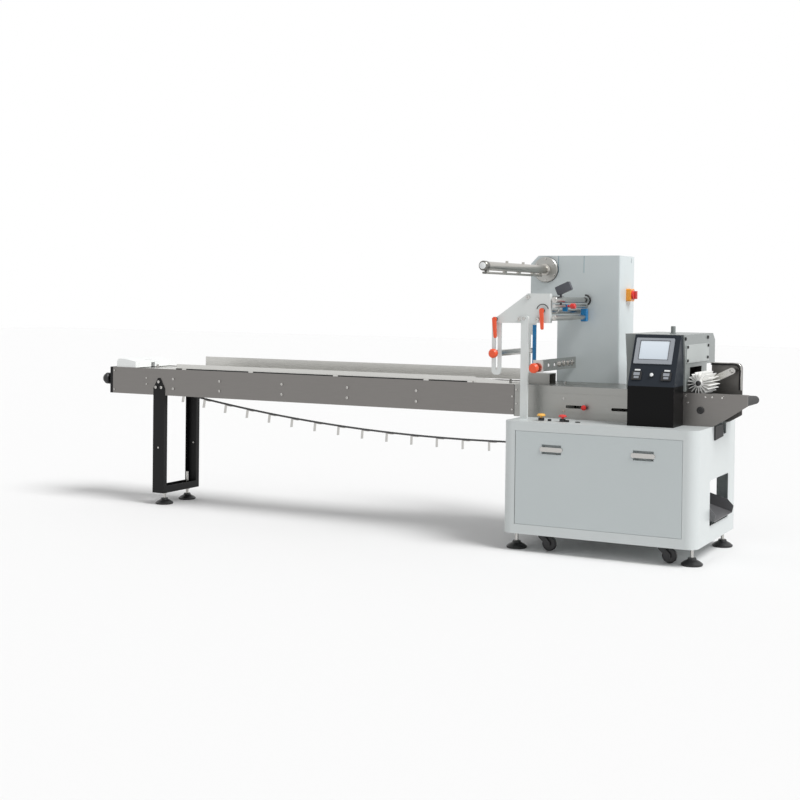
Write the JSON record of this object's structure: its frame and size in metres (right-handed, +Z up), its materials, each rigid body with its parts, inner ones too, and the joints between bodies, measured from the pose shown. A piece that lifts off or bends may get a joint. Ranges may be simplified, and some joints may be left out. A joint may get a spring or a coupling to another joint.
{
  "type": "horizontal flow wrapper",
  "caption": "Horizontal flow wrapping machine with a long lug-chain infeed conveyor, film tower, forming station, tilted operator console, end-seal housing and discharge brush.",
  "frame": {"origin": "on the floor, below the middle of the whole machine's bounding box", "axes": "+Z up, +X along the product line towards the discharge, +Y from the operator's side to the back"},
  "size_m": [3.834, 1.045, 1.453],
  "materials": {
    "grey_paint": "satin",
    "tower_paint": "satin",
    "plate_paint": "satin",
    "black_paint": "satin",
    "slate_paint": "satin",
    "stainless": "brushed",
    "bright_steel": "polished",
    "dark_steel": "oiled",
    "black_plastic": "matte",
    "white_plastic": "matte",
    "blue_plastic": "matte",
    "orange_plastic": "gloss",
    "red_plastic": "gloss",
    "yellow_plastic": "gloss",
    "grey_plastic": "matte",
    "screen": "gloss",
    "belt_rubber": "matte"
  },
  "bodies": {
    "machine": {"cabinet_body": "grey_paint", "cabinet_right_wall": "grey_paint", "cabinet_front_frame": "grey_paint", "cabinet_front_panel": "grey_paint", "panel_handles": "bright_steel", "cabinet_deck": "grey_paint", "drive_cover": "black_paint", "scrap_chute": "grey_paint", "levelling_feet": "black_plastic", "conveyor_side_plates": "stainless", "conveyor_trough": "stainless", "tail_end_plate": "black_paint", "tail_nose": "white_plastic", "guide_rails": "stainless", "leg_frame": "black_paint", "pusher_chain": "dark_steel", "pusher_lugs": "bright_steel", "chain_sprockets": "dark_steel", "bed_front_plate": "stainless", "bed_table": "stainless", "front_post": "plate_paint", "forming_plate": "plate_paint", "slotted_arms": "plate_paint", "tower_rods": "bright_steel", "sensor_box": "grey_plastic", "blue_fittings": "blue_plastic", "adjusting_bar": "bright_steel", "forming_box": "stainless", "tower_body": "tower_paint", "spindle_flange": "grey_paint", "switch_plate": "yellow_plastic", "console_body": "slate_paint", "screen_bezel": "grey_plastic", "screen_glass": "screen", "console_switches": "black_plastic", "end_seal_housing": "grey_paint", "end_seal_cover": "plate_paint", "discharge_front_plate": "stainless", "discharge_rear_plate": "stainless", "discharge_belt": "belt_rubber", "discharge_rollers": "black_plastic", "brush_arm": "bright_steel", "deck_buttons": "black_plastic"},
    "spindle": {"film_spindle": "stainless"},
    "upper_roller": {"roller_upper": "bright_steel"},
    "lower_roller": {"roller_lower": "bright_steel"},
    "idler": {"lower_idler": "orange_plastic"},
    "left_lever": {"clamp_lever_left": "orange_plastic"},
    "right_lever": {"clamp_lever_right": "orange_plastic"},
    "tail_knob": {"tension_knob": "black_plastic"},
    "ball_knob": {"slot_knob": "red_plastic"},
    "bar_clamp_knob": {"bar_knob": "orange_plastic"},
    "switch_dial": {"main_switch": "red_plastic"},
    "yellow_head": {"yellow_button": "yellow_plastic"},
    "red_head": {"red_button": "red_plastic"},
    "fork_left": {"caster_fork_left": "bright_steel"},
    "fork_right": {"caster_fork_right": "bright_steel"},
    "wheel_left": {"caster_wheel_left": "black_plastic"},
    "wheel_right": {"caster_wheel_right": "black_plastic"},
    "brush": {"brush_roller": "white_plastic"}
  },
  "joints": [
    {"name": "film_spindle_spin", "type": "hinge", "parent": "machine", "child": "spindle", "pos_m": [0.75, -0.1425, 1.379], "axis": [0, 1, 0], "continuous": true},
    {"name": "upper_roller_spin", "type": "hinge", "parent": "machine", "child": "upper_roller", "pos_m": [0.978, 0.0515, 1.22], "axis": [0, 1, 0], "continuous": true},
    {"name": "lower_roller_spin", "type": "hinge", "parent": "machine", "child": "lower_roller", "pos_m": [0.978, 0.0515, 1.132], "axis": [0, 1, 0], "continuous": true},
    {"name": "lower_idler_height", "type": "slide", "parent": "machine", "child": "idler", "axis": [0, 0, 1], "range_m": [-0.07, 0.045]},
    {"name": "left_lever_turn", "type": "hinge", "parent": "machine", "child": "left_lever", "pos_m": [0.669, -0.1925, 1.12], "axis": [0, 1, 0], "range_deg": [-80, 80]},
    {"name": "right_lever_turn", "type": "hinge", "parent": "machine", "child": "right_lever", "pos_m": [0.922, -0.1925, 1.167], "axis": [0, 1, 0], "range_deg": [-90, 15]},
    {"name": "tension_knob_turn", "type": "hinge", "parent": "machine", "child": "tail_knob", "pos_m": [-1.882, -0.0675, 0.721], "axis": [1, 0, 0], "continuous": true},
    {"name": "slot_knob_travel", "type": "slide", "parent": "machine", "child": "ball_knob", "axis": [1, 0, 0], "range_m": [-0.094, 0]},
    {"name": "bar_knob_turn", "type": "hinge", "parent": "machine", "child": "bar_clamp_knob", "pos_m": [0.904, -0.2325, 0.885], "axis": [0, 1, 0], "continuous": true},
    {"name": "main_switch_turn", "type": "hinge", "parent": "machine", "child": "switch_dial", "pos_m": [1.178, 0.4205, 1.25], "axis": [1, 0, 0], "range_deg": [0, 90]},
    {"name": "yellow_button_press", "type": "slide", "parent": "machine", "child": "yellow_head", "axis": [0, 0, -1], "range_m": [0, 0.003], "stiffness_N_per_m": 600, "springref_m": -0.004},
    {"name": "red_button_press", "type": "slide", "parent": "machine", "child": "red_head", "axis": [0, 0, -1], "range_m": [0, 0.003], "stiffness_N_per_m": 600, "springref_m": -0.004},
    {"name": "caster_left_swivel", "type": "hinge", "parent": "machine", "child": "fork_left", "pos_m": [0.968, -0.2625, 0.08], "axis": [0, 0, 1], "continuous": true},
    {"name": "caster_right_swivel", "type": "hinge", "parent": "machine", "child": "fork_right", "pos_m": [1.568, -0.2625, 0.08], "axis": [0, 0, 1], "continuous": true},
    {"name": "caster_left_roll", "type": "hinge", "parent": "fork_left", "child": "wheel_left", "pos_m": [1.006, -0.2625, 0.038], "axis": [0, 1, 0], "continuous": true},
    {"name": "caster_right_roll", "type": "hinge", "parent": "fork_right", "child": "wheel_right", "pos_m": [1.606, -0.2625, 0.038], "axis": [0, 1, 0], "continuous": true},
    {"name": "brush_spin", "type": "hinge", "parent": "machine", "child": "brush", "pos_m": [1.678, 0.0225, 0.833], "axis": [0, 1, 0], "continuous": true}
  ]
}
